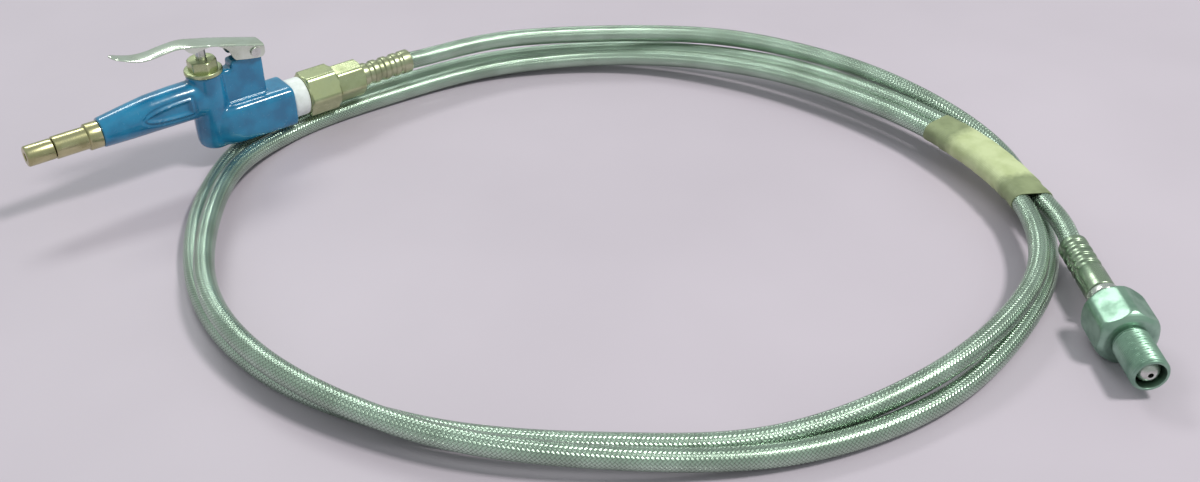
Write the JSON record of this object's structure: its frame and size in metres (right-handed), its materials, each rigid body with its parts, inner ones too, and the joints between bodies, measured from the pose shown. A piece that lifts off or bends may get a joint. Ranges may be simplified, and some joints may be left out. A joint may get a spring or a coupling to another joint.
{
  "type": "air blow gun",
  "caption": "Blue hand-held air blow gun with a chrome thumb lever and a short brass nozzle, on a long steel-braided hose coiled in two loose turns that ends in a male union nut",
  "frame": {"origin": "centre of the nozzle outlet", "axes": "+X from the outlet along the nozzle axis to the inlet, +Z to the lever side, Y across the gun"},
  "size_m": [0.3955, 0.4082, 0.0713],
  "materials": {
    "enamel_blue": "gloss blue enamel on a die casting",
    "brass_polished": "turned brass",
    "brass_dull": "dulled machined brass",
    "chrome": "plated pressed sheet",
    "steel_bright": "turned steel",
    "steel_braid": "woven stainless wire braid",
    "zinc_grey": "zinc plate, slightly dulled",
    "ferrule_gold": "yellow passivated crimped sleeve",
    "nylon_white": "moulded white nylon",
    "liner_white": "smooth hose liner",
    "rubber_black": "moulded nitrile rubber",
    "tape_cream": "creped paper tape"
  },
  "bodies": {
    "gun": {"gun_body": "enamel_blue", "nozzle_tip": "brass_polished", "nozzle_tube": "brass_polished", "nozzle_oring": "rubber_black", "valve_bonnet": "brass_dull", "bonnet_oring": "rubber_black", "stem_oring": "rubber_black", "valve_cage": "brass_dull", "valve_seat": "brass_dull", "valve_spring": "steel_bright", "lever_pin": "steel_bright", "pin_clip": "steel_bright", "packing_ring": "nylon_white", "inlet_adapter": "brass_dull", "hose_tail_near": "brass_dull", "liner_end_near": "liner_white", "ferrule_near": "ferrule_gold", "hose_braid": "steel_braid", "masking_tape": "tape_cream", "ferrule_far": "ferrule_gold", "liner_end_far": "liner_white", "hose_tail_far": "steel_bright", "stop_ring": "steel_bright"},
    "lever": {"lever": "chrome"},
    "valve": {"valve_stem": "steel_bright", "poppet": "brass_dull", "poppet_seal": "rubber_black"},
    "union": {"union_nut": "zinc_grey"}
  },
  "joints": [
    {"name": "lever_press", "type": "hinge", "parent": "gun", "child": "lever", "pos_m": [0.113, 0, 0.0195], "axis": [0, -1, 0], "range_deg": [0, 8], "stiffness_Nm_per_rad": 2, "springref_deg": -2.86},
    {"name": "valve_slide", "type": "slide", "parent": "gun", "child": "valve", "axis": [0, 0, -1], "range_m": [0, 0.0036], "deforming": ["valve_spring"]},
    {"name": "nut_turn", "type": "hinge", "parent": "gun", "child": "union", "pos_m": [0.339, -0.318, -0.023], "axis": [-0.5878, -0.809, 0], "continuous": true}
  ],
  "couplings": [
    {"joint": "valve_slide", "follows": "lever_press", "m_per_rad": 0.025}
  ]
}
